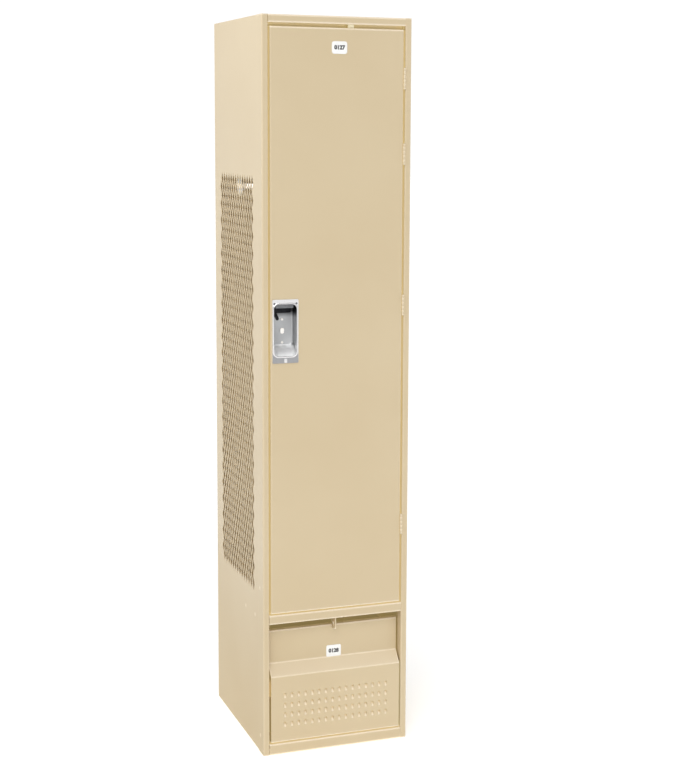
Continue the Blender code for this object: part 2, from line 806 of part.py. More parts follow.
def pocket_outline(middle, margin):
    """The pocket's mouth from the front, this much wider all round, about the flange's middle."""
    low = (middle[0] - POCKET_WIDTH / 2 - margin, middle[1] + POCKET_UP - POCKET_HEIGHT - margin)
    high = (middle[0] + POCKET_WIDTH / 2 + margin, middle[1] + POCKET_UP + margin)
    return rounded(low, high, POCKET_RADIUS + margin)


def rivet_places(middle):
    height = middle[1] + FLANGE_HEIGHT / 2 - RIVET_DROP
    return [(middle[0] + side * RIVET_SPREAD / 2, height) for side in (-1, 1)]


def lock_places(middle):
    """The middles of the lower screw, the cover of the lock hole and the upper screw."""
    height = middle[1] + POCKET_UP - LOCK_DROP
    return [(middle[0], height + side * LOCK_SCREW_REACH) for side in (-1, 0, 1)]


def handle_pocket(steel):
    """A stainless flange on the door's face, the drawn pocket behind it, and the openings in its walls.

    It is made about its own middle and then moved to its place.
    """
    face = FRONT - SEAT_GAP - POCKET_WALL
    middle = (0, 0)
    flange = rounded(
        (-FLANGE_WIDTH / 2, -FLANGE_HEIGHT / 2),
        (FLANGE_WIDTH / 2, FLANGE_HEIGHT / 2),
        FLANGE_RADIUS,
    )
    obj = solid("handle_pocket", prism(flange, "Y", face, FRONT - SEAT_GAP), steel)
    rivet_holes = [circle(place, RIVET_SHANK + SEAT_GAP, SMALL_SIDES) for place in rivet_places(middle)]
    cut(obj, prisms(rivet_holes, "Y", face - OVERRUN, FRONT))
    shell = prism(pocket_outline(middle, POCKET_WALL), "Y", face + POCKET_WALL / 2, POCKET_BACK + POCKET_WALL)
    join(obj, shell)
    cut(obj, prism(pocket_outline(middle, 0), "Y", face - OVERRUN, POCKET_BACK))
    slot_left = -EYE_SLOT_SIDE - EYE_SLOT_WIDTH / 2
    slot_top = POCKET_UP - EYE_SLOT_DROP
    slot_low = (slot_left, slot_top - EYE_SLOT_HEIGHT)
    slot_high = (slot_left + EYE_SLOT_WIDTH, slot_top)
    lower, cover, upper = lock_places(middle)
    back_holes = [
        rounded(slot_low, slot_high, EYE_SLOT_RADIUS),
        circle(cover, LOCK_COVER_NECK + SEAT_GAP, ROUND_SIDES),
        circle(lower, LOCK_SCREW_NECK + SEAT_GAP, SMALL_SIDES),
        circle(upper, LOCK_SCREW_NECK + SEAT_GAP, SMALL_SIDES),
    ]
    cut(obj, prisms(back_holes, "Y", POCKET_BACK - OVERRUN, POCKET_BACK + POCKET_WALL + OVERRUN))
    side = LIFT_WIDTH / 2 + POCKET_CLEARANCE
    lift_front = FRONT + LIFT_DEPTH - LIFT_WALL - POCKET_CLEARANCE
    lift_back = FRONT + LIFT_DEPTH + POCKET_CLEARANCE
    lift_way = block(
        (-side, lift_front, POCKET_UP - OVERRUN),
        (side, lift_back, POCKET_UP + POCKET_WALL + OVERRUN),
    )
    cut(obj, lift_way)
    obj.data.transform(Matrix.Translation((HANDLE_X, 0, HANDLE_HEIGHT)))
    return obj


def pocket_fasteners(steel, zinc):
    """The rivets of the flange, and the cover of the lock hole with its two screws."""
    pieces = []
    face = FRONT - POCKET_WALL - 2 * SEAT_GAP
    rivet = [
        (0, 0),
        (RIVET_SHANK, 0),
        (RIVET_SHANK, RIVET_LENGTH),
        (RIVET_HEAD, RIVET_LENGTH),
        (RIVET_HEAD * math.cos(math.pi / 4), RIVET_LENGTH + RIVET_DOME * math.sin(math.pi / 4)),
        (0, RIVET_LENGTH + RIVET_DOME),
    ]
    for name, (x, z) in zip(("left", "right"), rivet_places(HANDLE_MIDDLE)):
        centre = Vector((x, face + RIVET_LENGTH, z))
        pieces.append(solid("handle_rivet_" + name, turned(rivet, SMALL_SIDES, "Y", centre, way=-1), steel))
    base = POCKET_BACK + POCKET_WALL + LOCK_NECK_LENGTH / 2
    seat = LOCK_NECK_LENGTH / 2 + POCKET_WALL + SEAT_GAP
    cover = [
        (0, 0),
        (LOCK_COVER_NECK, 0),
        (LOCK_COVER_NECK, seat),
        (LOCK_COVER_RADIUS, seat),
        (LOCK_COVER_RADIUS, seat + LOCK_COVER_FACE / 2),
        (LOCK_COVER_RADIUS - LOCK_COVER_FACE / 2, seat + LOCK_COVER_FACE),
        (0, seat + LOCK_COVER_FACE),
    ]
    screw = [
        (0, 0),
        (LOCK_SCREW_NECK, 0),
        (LOCK_SCREW_NECK, seat),
        (LOCK_SCREW_RADIUS, seat),
        (LOCK_SCREW_RADIUS * math.cos(math.pi / 4), seat + LOCK_SCREW_FACE * math.sin(math.pi / 4)),
        (0, seat + LOCK_SCREW_FACE),
    ]
    names = ("lock_screw_lower", "lock_hole_cover", "lock_screw_upper")
    shapes = ((screw, SMALL_SIDES), (cover, ROUND_SIDES), (screw, SMALL_SIDES))
    for name, (x, z), (profile, sides) in zip(names, lock_places(HANDLE_MIDDLE), shapes):
        pieces.append(solid(name, turned(profile, sides, "Y", Vector((x, base, z)), way=-1), zinc))
    return pieces


def latch_guide(name, height, zinc):
    """A bracket on the door's left lip that the latch bar slides through."""
    foot = FRONT + DOOR_DEPTH + SEAT_GAP
    inner = BAR_FRONT - SEAT_GAP - GUIDE_WALL
    outer = BAR_BACK + SEAT_GAP + GUIDE_WALL
    step = -DOOR_HALF + GUIDE_STEP_INSET
    right = BAR_RIGHT + SEAT_GAP + GUIDE_WALL
    path = [
        (-DOOR_HALF + GUIDE_FOOT_INSET, foot),
        (step, foot),
        (step, inner),
        (right, inner),
        (right, outer),
        (BAR_LEFT, outer),
    ]
    outline = folded(path, GUIDE_WALL, bend=SHARP_BEND)
    return solid(name, prism(outline, "Z", height - GUIDE_HEIGHT / 2, height + GUIDE_HEIGHT / 2), zinc)


def number_plate(name, centre, face, white):
    low = (centre[0] - PLATE_WIDTH / 2, centre[1] - PLATE_HEIGHT / 2)
    high = (centre[0] + PLATE_WIDTH / 2, centre[1] + PLATE_HEIGHT / 2)
    back = face - SEAT_GAP
    return solid(name, prism(rounded(low, high, PLATE_RADIUS), "Y", back - PLATE_THICK, back), white)


# Latch

def finger_lift(dark):
    """The plate that the fingers push up, its web over the pocket and its tail on the latch bar."""
    web = POCKET_TOP + POCKET_WALL + LIFT_CLEARANCE
    path = [
        (FRONT + LIFT_DEPTH, POCKET_TOP - LIFT_REACH),
        (FRONT + LIFT_DEPTH, web),
        (LIFT_BACK, web),
        (LIFT_BACK, web + LIFT_TAIL),
    ]
    ends = (HANDLE_X - LIFT_WIDTH / 2, HANDLE_X + LIFT_WIDTH / 2)
    return solid("finger_lift", prism(folded(path, LIFT_WALL, bend=SHARP_BEND), "X", *ends), dark)


def latch_bar(zinc):
    """The long bar in the door with a tab for each catch."""
    heights = catch_heights()
    lower_end = heights[0] - BAR_END
    upper_end = heights[-1] + BAR_END
    outline = [(BAR_RIGHT, lower_end), (BAR_RIGHT, upper_end), (BAR_LEFT, upper_end)]
    tab = -DOOR_HALF + TAB_INSET
    for height in heights[::-1]:
        top = height + TAB_HEIGHT / 2
        bottom = height - TAB_HEIGHT / 2
        outline += [(BAR_LEFT, top), (tab, top), (tab, bottom), (BAR_LEFT, bottom)]
    outline.append((BAR_LEFT, lower_end))
    return solid("latch_bar", prism(outline, "Y", BAR_FRONT, BAR_BACK), zinc)


# Drawer

def vents():
    """The upright round-ended holes in the drawer's face."""
    half = VENT_WIDTH / 2
    straight = VENT_LENGTH / 2 - half
    pitch = 2 * (DOOR_HALF - VENT_SIDE_MARGIN) / (VENT_COLUMNS - 1)
    outlines = []
    for row in range(VENT_ROWS):
        v = DRAWER_BOTTOM + VENT_RISE + (row - (VENT_ROWS - 1) / 2) * VENT_ROW_PITCH
        for column in range(VENT_COLUMNS):
            u = (column - (VENT_COLUMNS - 1) / 2) * pitch
            upper = arc((u, v + straight), half, 0, math.pi, VENT_STEPS)
            lower = arc((u, v - straight), half, math.pi, 2 * math.pi, VENT_STEPS)
            outlines.append(upper + lower)
    return outlines


def drawer_front(enamel):
    """A folded front: top lip, set-back panel, slope, face and foot, with the vents and the plate's notch."""
    path = [
        (RECESS_Y + DRAWER_TOP_LIP, DRAWER_TOP),
        (RECESS_Y, DRAWER_TOP),
        (RECESS_Y, SLOPE_TOP),
        (FRONT, SLOPE_BOTTOM),
        (FRONT, DRAWER_BOTTOM),
        (FRONT + DRAWER_FOOT, DRAWER_BOTTOM),
    ]
    obj = solid("drawer_front", prism(folded(path, DOOR_WALL), "X", -DOOR_HALF, DOOR_HALF), enamel)
    side = HASP_THICK / 2 + HASP_CLEARANCE
    notch = block(
        (-side, RECESS_Y - OVERRUN, RAIL_BOTTOM - SEAT_GAP - HASP_DROP - HASP_NOTCH_DROP),
        (side, RECESS_Y + DRAWER_TOP_LIP + OVERRUN, DRAWER_TOP + OVERRUN),
    )
    return cut(obj, notch, prisms(vents(), "Y", FRONT - OVERRUN, FRONT + OVERRUN))


def drawer_tray(enamel):
    low = Vector((-TRAY_HALF, TRAY_FRONT, TRAY_BOTTOM))
    high = Vector((TRAY_HALF, TRAY_BACK, DRAWER_TOP - TRAY_DROP))
    wall = Vector((TRAY_WALL, TRAY_WALL, TRAY_WALL))
    obj = solid("drawer_tray", block(low, high), enamel)
    return cut(obj, block(low + wall, Vector((high.x - TRAY_WALL, high.y - TRAY_WALL, high.z + OVERRUN))))


def channel(name, web, edge, height, side, ends, material):
    """A channel along the drawer, with its web and the ends of its flanges this far out on one side."""
    path = [
        (edge, RUNNER_HEIGHT + height / 2),
        (web, RUNNER_HEIGHT + height / 2),
        (web, RUNNER_HEIGHT - height / 2),
        (edge, RUNNER_HEIGHT - height / 2),
    ]
    if web > edge:
        path.reverse()
    outline = folded(path, RUNNER_WALL, bend=SHARP_BEND, steps=1)
    if side < 0:
        outline = mirrored(outline)
    return solid(name, prism(outline, "Y", *ends), material)


def runners(side_name, side, enamel, zinc):
    """One side's bracket, cabinet runner, middle runner and drawer runner, each inside the one before."""
    ends = (FRONT + RUNNER_FRONT, TRAY_BACK)
    bracket_ends = (PAN_FRONT + JAMB_LEG, PAN_BACK - PAN_LIP)
    fixed_web = JAMB_INSIDE - SEAT_GAP
    middle_web = fixed_web - RUNNER_STEP
    drawer_web = TRAY_HALF + SEAT_GAP
    drawer_edge = middle_web - RUNNER_WALL - SEAT_GAP
    nest = 2 * (RUNNER_WALL + SEAT_GAP)
    middle_size = RUNNER_SIZE - nest
    rows = (
        ("runner_bracket_", JAMB_INSIDE, INNER_HALF, BRACKET_SIZE, bracket_ends, enamel),
        ("cabinet_runner_", fixed_web, fixed_web - RUNNER_FLANGE, RUNNER_SIZE, ends, zinc),
        ("middle_runner_", middle_web, middle_web - RUNNER_FLANGE, middle_size, ends, zinc),
        ("drawer_runner_", drawer_web, drawer_edge, middle_size - nest, ends, zinc),
    )
    pieces = []
    for name, web, edge, size, reach, material in rows:
        pieces.append(channel(name + side_name, web, edge, size, side, reach, material))
    return pieces


def main():
    clear_scene()
    enamel = tan_enamel()
    steel = stainless_steel()
    zinc = zinc_plate()
    white = white_plate()
    outline = jamb_outline()
    fixed_leaves, door_leaves = hinges(enamel, zinc)

    left = runners("left", -1, enamel, zinc)
    right = runners("right", 1, enamel, zinc)
    cabinet = [
        jamb("left_jamb", outline, -1, enamel),
        jamb("right_jamb", mirrored(outline), 1, enamel),
        header(enamel),
        cross_rail(enamel),
        sill(enamel),
        side_panel("left_side_panel", -1, enamel),
        side_panel("right_side_panel", 1, enamel),
        back_panel(enamel),
        top_panel(enamel),
        bottom_panel(enamel),
        hat_shelf(enamel),
        compartment_floor(enamel),
        door_bumper(beige_rubber()),
        padlock_plate(enamel),
    ]
    cabinet += coat_rail(zinc)
    for name, height in zip(("lower", "middle", "upper"), catch_heights()):
        cabinet.append(latch_catch(name + "_latch_catch", height, zinc))
    cabinet += left[:2] + right[:2]

    plate_height = DOOR_TOP - DOOR_PLATE_DROP
    door = [
        door_skin(enamel),
        door_stiffener(enamel),
        handle_pocket(steel),
        number_plate("door_number_plate", (DOOR_PLATE_SIDE, plate_height), FRONT, white),
    ]
    door += pocket_fasteners(steel, zinc)
    for name, height in zip(("lower", "upper"), guide_heights()):
        door.append(latch_guide(name + "_latch_guide", height, zinc))
    latch = [finger_lift(dark_steel()), latch_bar(zinc)]

    drawer_plate = (DRAWER_PLATE_SIDE, SLOPE_TOP + DRAWER_PLATE_RISE)
    drawer = [
        drawer_front(enamel),
        drawer_tray(enamel),
        left[3],
        right[3],
        number_plate("drawer_number_plate", drawer_plate, RECESS_Y, white),
    ]
    middle_runners = [left[2], right[2]]
    smooth(cabinet + door + latch + drawer + middle_runners)

    cabinet_empty = joint_empty("cabinet", (0, 0, 0))
    hinge_empty = joint_empty("door_hinge_line", (HINGE_X, HINGE_Y, DOOR_BOTTOM), cabinet_empty)
    latch_empty = joint_empty("latch_slide", (BAR_LEFT, BAR_FRONT, HANDLE_HEIGHT), hinge_empty)
    drawer_empty = joint_empty("drawer_slide", (0, FRONT, RUNNER_HEIGHT), cabinet_empty)
    middle_empty = joint_empty("runner_slide", (0, FRONT, RUNNER_HEIGHT), cabinet_empty)
    carry(cabinet_empty, cabinet)
    carry(hinge_empty, door)
    carry(latch_empty, latch)
    carry(drawer_empty, drawer)
    carry(middle_empty, middle_runners)
    for leaf in fixed_leaves:
        leaf.parent = cabinet_empty
    for leaf in door_leaves:
        leaf.parent = hinge_empty
        leaf.location -= hinge_empty.matrix_world.translation


main()
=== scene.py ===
"""Tan metal locker: its finishes, its fine pieces, the light and the camera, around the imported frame."""
import math
import bpy
from mathutils import Matrix, Vector


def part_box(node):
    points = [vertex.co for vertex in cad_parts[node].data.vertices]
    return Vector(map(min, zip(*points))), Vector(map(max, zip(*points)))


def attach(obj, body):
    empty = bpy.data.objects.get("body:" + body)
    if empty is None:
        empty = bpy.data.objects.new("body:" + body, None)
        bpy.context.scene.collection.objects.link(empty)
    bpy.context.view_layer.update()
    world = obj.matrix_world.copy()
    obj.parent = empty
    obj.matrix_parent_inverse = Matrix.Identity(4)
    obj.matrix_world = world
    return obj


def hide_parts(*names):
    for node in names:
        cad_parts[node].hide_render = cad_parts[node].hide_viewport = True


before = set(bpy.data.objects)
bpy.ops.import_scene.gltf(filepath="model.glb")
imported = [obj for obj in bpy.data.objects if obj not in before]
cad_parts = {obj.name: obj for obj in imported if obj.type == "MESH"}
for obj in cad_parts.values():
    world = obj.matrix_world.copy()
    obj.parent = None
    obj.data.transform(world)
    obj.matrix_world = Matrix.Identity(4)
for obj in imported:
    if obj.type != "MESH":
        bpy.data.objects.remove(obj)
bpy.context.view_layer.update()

# Sizes and places in metres.

door_low, door_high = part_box("door_skin")
pocket_low, pocket_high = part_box("handle_pocket")
rod_low, rod_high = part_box("coat_rod")

# Cabinet: the door's face, the ceiling of the drawer's bay, and the inner faces of the back, of the side
# sheets and of the jambs beside the drawer. Under SLOPE_FOOT the drawer's front is upright.
FRONT = door_low.y
BAY_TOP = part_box("cross_rail")[0].z
BACK_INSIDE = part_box("back_panel")[0].y
SIDE_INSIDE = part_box("right_side_panel")[0].x
JAMB_INSIDE = 0.1745
SLOPE_FOOT = 0.202

# Side sheets: the diamonds are twice as high as they are wide, and the pitch is the distance between
# neighbours in a row. FIELD_FRONT is how far behind the door's face the field begins. GRID_CELLS makes
# the grid that the sheet is cut from large enough.
SHEET = 0.0015
DIAMOND_PITCH = 0.0219
DIAMOND_ROWS = 47
DIAMOND_COLUMNS = 14
STRAND_HALF = 0.00129
FIELD_FRONT = 0.083
FIELD_HALF_DEPTH = (DIAMOND_COLUMNS + 0.5) * DIAMOND_PITCH / 2
FIELD_HALF_HEIGHT = (DIAMOND_ROWS + 1) * DIAMOND_PITCH / 2
FIELD_MIDDLE_Y = FRONT + FIELD_FRONT + FIELD_HALF_DEPTH
FIELD_MIDDLE_Z = 0.9235
GRID_CELLS = 67

# Each spot weld that shows on the sides: its depth behind the door's face, and its height. Its dent is flat
# inside DENT_FLAT and has run out at DENT_REACH.
SPOT_WELDS = ((0.030, 0.425), (0.168, 0.341), (0.081, 0.343), (0.029, 0.045))
DENT_FLAT = 0.0025
DENT_REACH = 0.007

# How far the painted highlights of the coat reach from its bends. They are left out of the diamonds and the
# vents.
BEND_HIGHLIGHT_REACH = 0.0046
NO_BEND_HIGHLIGHT = 0.0001

# Drawer: the vents in its lower face
VENT_WIDTH = 0.008
VENT_HEIGHT = 0.014
VENT_RIM = 0.0036
VENT_COLUMNS = 16
VENT_ROWS = 4
VENT_SIDE_MARGIN = 0.03625
VENT_PITCH_X = (door_high.x - door_low.x - 2 * VENT_SIDE_MARGIN) / (VENT_COLUMNS - 1)
VENT_PITCH_Z = 0.025
VENT_MIDDLE_Z = 0.1135

# Coat rod: its middle, and half the height that its painted band of light, an emission, is measured over
ROD_HEIGHT = (rod_low.z + rod_high.z) / 2
ROD_BAND = 0.025

# Handle: the flange, the mouth of the well inside its raised bead, and the well's back
HANDLE_MIDDLE = (pocket_low.x + pocket_high.x) / 2
FLANGE_FACE = pocket_low.y
FLANGE_RADIUS = 0.003
MOUTH_WIDTH = 0.057
MOUTH_HEIGHT = 0.127
MOUTH_RADIUS = 0.012
MOUTH_TOP = pocket_high.z - 0.012
MOUTH_BOTTOM = MOUTH_TOP - MOUTH_HEIGHT
BEAD = 0.004
WELL_BACK = pocket_high.y - 0.004
LIFT_THICK = 0.002
LIFT_MIDDLE_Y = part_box("finger_lift")[0].y + LIFT_THICK / 2

# From the bead's foot over its crest and down the well to its back: how far in, and how far out of the face
BEAD_AND_WELL = (
    (0.0005, 0.0009),
    (0.0009, 0.0007),
    (0.0010, 0.0001),
    (0.0009, -0.0007),
    (0.0007, -0.0014),
    (0.0002, -0.0020),
    (0.0005, -0.0195),
    (0.0006, -0.0042),
    (0.0012, -0.0022),
    (0.0022, -0.0012),
)

# Holes of the well: centre, width, height, corner radius, reach to the back and lean in degrees. They are
# the slanted slot, the level opening over it, and the way through the top for the finger lift.
WELL_HOLES = (
    ((HANDLE_MIDDLE - 0.0150, WELL_BACK, MOUTH_TOP - 0.0318), 0.0088, 0.022, 0.0042, 0.012, 24),
    ((HANDLE_MIDDLE + 0.0005, WELL_BACK, MOUTH_TOP - 0.0175), 0.044, 0.013, 0.004, 0.012, 0),
    ((HANDLE_MIDDLE, LIFT_MIDDLE_Y - 0.0015, MOUTH_TOP), 0.046, 0.012, 0.0005, 0.003, 0),
)

# Where the coat gets painted bounce light besides the gaps: how strongly, and between which planes, each with
# its axis, the place where the painted light is out and the place where it is full. X counts from the middle
# to both sides. The first is the drawer's bay behind the drawer's front, the second the jambs' faces beside
# the front's upright part.
PAINTED_BOUNCE_LIGHT = (
    (0.11, (
        ("Y", FRONT + 0.028, FRONT + 0.034),
        ("Y", BACK_INSIDE + 0.0003, BACK_INSIDE),
        ("Z", BAY_TOP + 0.001, BAY_TOP),
        ("X", SIDE_INSIDE + 0.0003, SIDE_INSIDE),
    )),
    (0.25, (
        ("Y", FRONT + 0.002, FRONT + 0.005),
        ("Y", FRONT + 0.034, FRONT + 0.028),
        ("Z", SLOPE_FOOT + 0.004, SLOPE_FOOT),
        ("X", JAMB_INSIDE - 0.003, JAMB_INSIDE - 0.001),
        ("X", JAMB_INSIDE + 0.002, JAMB_INSIDE + 0.001),
    )),
)

# Points of a mesh that lie nearer to each other than this are merged. The vents' rims and the digits stand
# in front of their sheets by less than a tenth of a millimetre.
MERGE = 0.000005
VENT_PROUD = 0.00005
DIGITS_PROUD = 0.00002

# Photograph: its size, its optical centre and its focal length, all in pixels
PHOTO_WIDTH = 675
PHOTO_HEIGHT = 775
CENTRE_X = 400
CENTRE_Y = 329.2
FOCAL_LENGTH = 1591.13


# Modelling by hand

def deselect():
    """Leaves edit mode with nothing selected."""
    if bpy.context.mode != "OBJECT":
        bpy.ops.object.mode_set(mode="OBJECT")
    bpy.ops.object.select_all(action="DESELECT")


def choose(*objects):
    """Selects the objects alone, with the first one active."""
    deselect()
    for obj in objects:
        obj.select_set(True)
    bpy.context.view_layer.objects.active = objects[0]


def settle(obj):
    """Puts the object's place, turn and size into its mesh."""
    choose(obj)
    bpy.ops.object.transform_apply(location=True, rotation=True, scale=True)


def edit(obj):
    """Opens the object in edit mode with all of it selected."""
    choose(obj)
    bpy.ops.object.mode_set(mode="EDIT")
    bpy.ops.mesh.select_all(action="SELECT")


def pick_faces(obj, wanted):
    """Leaves edit mode's selection on the faces that the test wants."""
    bpy.ops.mesh.select_all(action="DESELECT")
    bpy.ops.mesh.select_mode(type="FACE")
    bpy.ops.object.mode_set(mode="OBJECT")
    for face in obj.data.polygons:
        face.select = wanted(face)
    bpy.ops.object.mode_set(mode="EDIT")


def pick_border():
    """Leaves edit mode's selection on the edges that have a face on one side or on none."""
    bpy.ops.mesh.select_all(action="DESELECT")
    bpy.ops.mesh.select_mode(type="EDGE")
    bpy.ops.mesh.select_non_manifold(extend=False, use_wire=True, use_boundary=True,
                                     use_multi_face=False, use_non_contiguous=False, use_verts=False)


def outline(name, centre, width, height, radius, steps):
    """A flat face seen from the front with its corners rounded, left selected in edit mode."""
    deselect()
    bpy.ops.mesh.primitive_plane_add(size=1, location=centre, rotation=(math.pi / 2, 0, 0))
    obj = bpy.context.object
    obj.name = name
    obj.scale = (width, height, 1)
    settle(obj)
    edit(obj)
    bpy.ops.mesh.bevel(offset=radius, offset_type="OFFSET", segments=steps, affect="VERTICES")
    bpy.ops.mesh.select_all(action="SELECT")
    bpy.ops.mesh.remove_doubles(threshold=MERGE)
    bpy.ops.mesh.select_all(action="SELECT")
    return obj


def sink(*steps):
    """Insets the selected face step by step: how far in from its edge, and how far along its normal."""
    for inwards, along in steps:
        bpy.ops.mesh.inset(thickness=inwards, depth=along, use_even_offset=True)


def extrude(along_y):
    """Extrudes the selected face straight back, or forwards where the length is negative."""
    bpy.ops.mesh.extrude_region_move(TRANSFORM_OT_translate={"value": (0, along_y, 0)})


def turn_outwards():
    """Turns all faces of the mesh in edit mode outwards."""
    bpy.ops.mesh.select_all(action="SELECT")
    bpy.ops.mesh.normals_make_consistent(inside=False)


def modify(obj, kind, **settings):
    """Adds a modifier with its settings and applies it."""
    choose(obj)
    modifier = obj.modifiers.new(kind.title(), kind)
    for name, value in settings.items():
        setattr(modifier, name, value)
    bpy.ops.object.modifier_apply(modifier=modifier.name)


def smooth(obj, degrees):
    """Shades smooth over the edges that turn by less than the angle."""
    choose(obj)
    bpy.ops.object.shade_smooth_by_angle(angle=math.radians(degrees))


def dress(obj, finish, body, slot, *nodes):
    """Gives a finished piece its finish, its body and the nodes that it stands for."""
    deselect()
    obj.data.materials.clear()
    obj.data.materials.append(finish)
    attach(obj, body)
    if nodes:
        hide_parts(*nodes)


# Finishes

def linear(code):
    """An sRGB hex colour as the linear colour that a shader takes."""
    values = [int(code[place:place + 2], 16) / 255 for place in (0, 2, 4)]
    return [v / 12.92 if v <= 0.04045 else ((v + 0.055) / 1.055) ** 2.4 for v in values] + [1]


def add(tree, kind, settings=(), values=(), links=(), stops=()):
    """Adds a node with its settings and with its sockets' values and links. The stops of a colour ramp are
    places, in rising order, with their hex colours."""
    node = tree.nodes.new(kind)
    for name, value in dict(settings).items():
        setattr(node, name, value)
    for socket, value in dict(values).items():
        node.inputs[socket].default_value = value
    for socket, source in dict(links).items():
        tree.links.new(source, node.inputs[socket])
    for count, (place, code) in enumerate(stops):
        elements = node.color_ramp.elements
        element = elements[count] if count < len(elements) else elements.new(place)
        element.position = place
        element.color = linear(code)
    return node


def open_finish(finish):
    """A finish's node tree, its shader and its Object coordinates."""
    tree = finish.node_tree
    return tree, tree.nodes["Principled BSDF"], tree.nodes["Texture Coordinate"].outputs["Object"]


def new_finish(name, **values):
    """A material with its shader's constants set, and what open_finish gives of it."""
    finish = bpy.data.materials.new(name)
    finish.use_nodes = True
    add(finish.node_tree, "ShaderNodeTexCoord")
    tree, shader, place = open_finish(finish)
    for socket, value in values.items():
        shader.inputs[socket.replace("_", " ")].default_value = value
    return finish, tree, shader, place


def mottle(tree, shader, place, grain, detail, colours, roughness=(), relief=0):
    """Patches as wide as the grain, in colour and, where these are given, in roughness and relief too."""
    patches = add(tree, "ShaderNodeTexNoise", values={"Scale": 1 / grain, "Detail": detail},
                  links={"Vector": place})
    colour = add(tree, "ShaderNodeValToRGB", links={"Fac": patches.outputs["Fac"]}, stops=colours)
    tree.links.new(colour.outputs["Color"], shader.inputs["Base Color"])
    if roughness:
        low, high = roughness
        spread = add(tree, "ShaderNodeMapRange", values={"To Min": low, "To Max": high},
                     links={"Value": patches.outputs["Fac"]})
        tree.links.new(spread.outputs["Result"], shader.inputs["Roughness"])
    if relief:
        bump = add(tree, "ShaderNodeBump", values={"Strength": relief, "Distance": 0.0002},
                   links={"Height": patches.outputs["Fac"]})
        tree.links.new(bump.outputs["Normal"], shader.inputs["Normal"])


def painted_bend_highlights(tree, bend, face):
    """How strongly a place is painted with the pale highlight of the bend beside it: a painted highlight for
    the light that the rounded bend catches.
    """
    bent = add(tree, "ShaderNodeBevel", settings={"samples": 4}, values={"Radius": bend})
    turned = add(tree, "ShaderNodeVectorMath", settings={"operation": "DOT_PRODUCT"},
                 links={0: bent.outputs["Normal"], 1: face})
    shine = add(tree, "ShaderNodeMapRange",
                values={"From Min": 0.9993, "From Max": 0.98, "To Min": 0, "To Max": 0.88},
                links={"Value": turned.outputs["Value"]})
    parts = add(tree, "ShaderNodeSeparateXYZ", links={"Vector": bent.outputs["Normal"]})
    tilt = add(tree, "ShaderNodeMath", settings={"operation": "ABSOLUTE"}, links={0: parts.outputs["Z"]})
    line = shine.outputs["Result"]
    # The painted highlight is weaker in upright bends, which mirror far less of the light from above than
    # level ones do. In bends that face up, the lamps' own light is already so strong that the painted
    # highlight shows less.
    for slope, first, last, first_share, last_share in (
        (tilt.outputs["Value"], 0, 0.1, 0.13, 1),
        (parts.outputs["Z"], 0.45, 0.75, 1, 0.4),
    ):
        share = add(tree, "ShaderNodeMapRange",
                    values={"From Min": first, "From Max": last, "To Min": first_share, "To Max": last_share},
                    links={"Value": slope})
        weaker = add(tree, "ShaderNodeMath", settings={"operation": "MULTIPLY"},
                     links={0: line, 1: share.outputs["Result"]})
        line = weaker.outputs["Value"]
    return line


def weld_dents(tree, place):
    """The height of the coat round the spot welds of both sides: 0 in the dents and 1 away from them."""
    side_place = add(tree, "ShaderNodeVectorMath", settings={"operation": "MULTIPLY"},
                     values={1: (0, 1, 1)}, links={0: place})
    dents = []
    for depth, height in SPOT_WELDS:
        away = add(tree, "ShaderNodeVectorMath", settings={"operation": "DISTANCE"},
                   values={1: (0, FRONT + depth, height)}, links={0: side_place.outputs["Vector"]})
        dent = add(tree, "ShaderNodeMapRange", settings={"interpolation_type": "SMOOTHSTEP"},
                   values={"From Min": DENT_FLAT, "From Max": DENT_REACH},
                   links={"Value": away.outputs["Value"]})
        dents.append(dent.outputs["Result"])
    lowest = dents[0]
    for dent in dents[1:]:
        lower = add(tree, "ShaderNodeMath", settings={"operation": "MINIMUM"}, links={0: lowest, 1: dent})
        lowest = lower.outputs["Value"]
    return lowest


def painted_bounce_light(tree, parts):
    """The strength of a faint painted bounce light of the coat, an emission, in the narrow gaps and in the
    places that the table lists. It stands for the light that goes to and fro between tan walls and comes out
    golden."""
    narrow = add(tree, "ShaderNodeAmbientOcclusion", settings={"samples": 8}, values={"Distance": 0.02})
    gaps = add(tree, "ShaderNodeMapRange",
               values={"From Min": 0.5, "From Max": 0.1, "To Min": 0, "To Max": 0.24},
               links={"Value": narrow.outputs["AO"]})
    sideways = add(tree, "ShaderNodeMath", settings={"operation": "ABSOLUTE"}, links={0: parts.outputs["X"]})
    along = {"X": sideways.outputs["Value"], "Y": parts.outputs["Y"], "Z": parts.outputs["Z"]}
    painted_glow = gaps.outputs["Result"]
    for strength, planes in PAINTED_BOUNCE_LIGHT:
        masks = []
        for axis, out, full in planes:
            mask = add(tree, "ShaderNodeMapRange",
                       values={"From Min": out, "From Max": full, "To Max": 1 if masks else strength},
                       links={"Value": along[axis]})
            masks.append(mask.outputs["Result"])
        inside = masks[0]
        for mask in masks[1:]:
            both = add(tree, "ShaderNodeMath", settings={"operation": "MULTIPLY"}, links={0: inside, 1: mask})
            inside = both.outputs["Value"]
        brightest = add(tree, "ShaderNodeMath", settings={"operation": "MAXIMUM"}, links={0: painted_glow, 1: inside})
        painted_glow = brightest.outputs["Value"]
    return painted_glow


